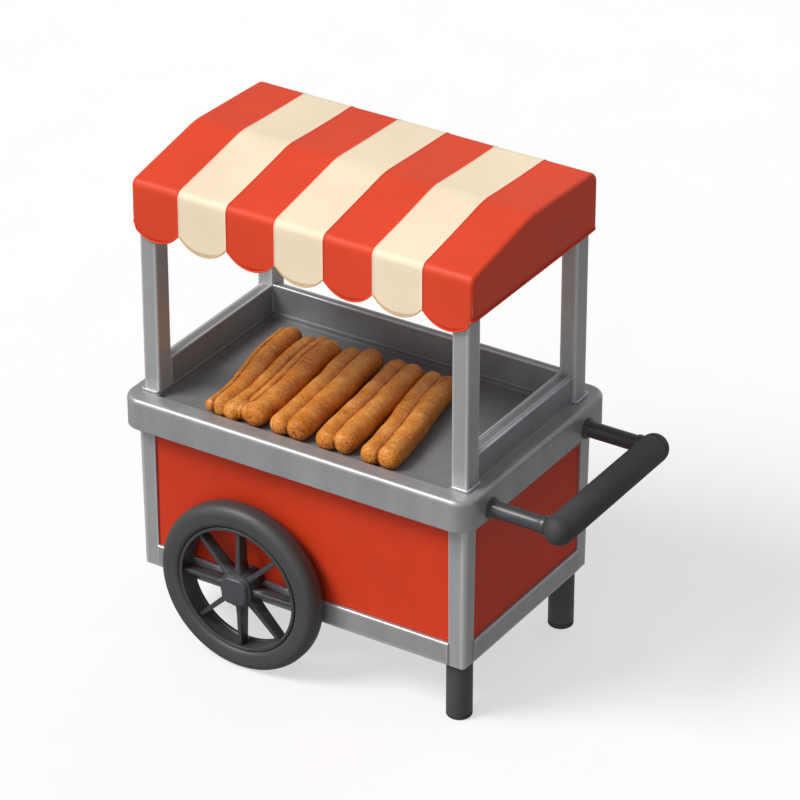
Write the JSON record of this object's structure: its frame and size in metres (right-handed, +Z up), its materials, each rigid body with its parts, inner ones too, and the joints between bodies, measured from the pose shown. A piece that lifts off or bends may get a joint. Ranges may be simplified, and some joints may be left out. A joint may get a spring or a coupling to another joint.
{
  "type": "push vending cart",
  "caption": "Push cart with a striped scalloped awning on four posts, a tray of split rolls, two large spoked wheels, two legs and a push handle.",
  "frame": {"origin": "on the ground, under the middle of the whole cart with its handle", "axes": "+X along the cart towards the push handle, +Y across it towards the operator's side, +Z up"},
  "size_m": [1.774, 1.096, 1.855],
  "materials": {
    "frame_steel": "satin",
    "deck_aluminium": "satin",
    "panel_red": "satin powder coat",
    "awning_cloth": "coated awning cloth in red and cream stripes",
    "leg_black": "satin",
    "foot_rubber": "matt",
    "bolt_steel": "zinc plated",
    "handle_black": "gloss",
    "grip_foam": "matt foam",
    "axle_steel": "turned",
    "boss_iron": "painted",
    "tyre_rubber": "matt",
    "wheel_casting": "dark powder coat",
    "latch_black": "moulded",
    "tray_steel": "brushed",
    "roll_crust": "baked crust"
  },
  "bodies": {
    "cart": {"upright_front_left": "frame_steel", "upright_front_right": "frame_steel", "upright_rear_left": "frame_steel", "upright_rear_right": "frame_steel", "bottom_rail_front": "frame_steel", "bottom_rail_rear": "frame_steel", "bottom_rail_left": "frame_steel", "bottom_rail_right": "frame_steel", "top_bars": "frame_steel", "handle_beam": "frame_steel", "deck_bearers": "frame_steel", "door_frame": "frame_steel", "counter_rim": "frame_steel", "tray_shelf": "frame_steel", "guard_left": "frame_steel", "guard_right": "frame_steel", "guard_rear": "frame_steel", "post_feet": "frame_steel", "post_front_left": "frame_steel", "post_front_right": "frame_steel", "post_rear_left": "frame_steel", "post_rear_right": "frame_steel", "floor_deck": "deck_aluminium", "awning_ring": "deck_aluminium", "roof_hoops": "deck_aluminium", "front_panel": "panel_red", "left_panel": "panel_red", "right_panel": "panel_red", "rear_panel": "panel_red", "awning_cover": "awning_cloth", "legs": "leg_black", "leg_plates": "leg_black", "leg_feet": "foot_rubber", "leg_bolts": "bolt_steel", "axle_nuts": "bolt_steel", "hinge_leaves": "bolt_steel", "handle_arms": "handle_black", "handle_bar": "handle_black", "handle_grip": "grip_foam", "axle": "axle_steel", "axle_brackets": "axle_steel", "axle_bosses": "boss_iron"},
    "front_wheel": {"tyre_front": "tyre_rubber", "rim_band_front": "wheel_casting", "wheel_front": "wheel_casting", "bearings_front": "axle_steel", "hub_cap_front": "wheel_casting"},
    "rear_wheel": {"tyre_rear": "tyre_rubber", "rim_band_rear": "wheel_casting", "wheel_rear": "wheel_casting", "bearings_rear": "axle_steel", "hub_cap_rear": "wheel_casting"},
    "door": {"rear_door": "panel_red"},
    "latch": {"door_latch": "latch_black"},
    "tray": {"display_tray": "tray_steel", "roll_1": "roll_crust", "roll_2": "roll_crust", "roll_3": "roll_crust", "roll_4": "roll_crust", "roll_5": "roll_crust"}
  },
  "joints": [
    {"name": "wheel_front_spin", "type": "hinge", "parent": "cart", "child": "front_wheel", "pos_m": [-0.369, -0.488, 0.33], "axis": [0, 1, 0], "continuous": true},
    {"name": "wheel_rear_spin", "type": "hinge", "parent": "cart", "child": "rear_wheel", "pos_m": [-0.369, 0.488, 0.33], "axis": [0, 1, 0], "continuous": true},
    {"name": "door_hinge", "type": "hinge", "parent": "cart", "child": "door", "pos_m": [0.4515, 0.4362, 0.576], "axis": [0, 0, -1], "range_deg": [0, 110]},
    {"name": "latch_turn", "type": "hinge", "parent": "door", "child": "latch", "pos_m": [0.048, 0.43, 0.576], "axis": [0, -1, 0], "range_deg": [0, 90]},
    {"name": "tray_lift", "type": "slide", "parent": "cart", "child": "tray", "axis": [0, 0, 1], "range_m": [0, 0.25]}
  ]
}
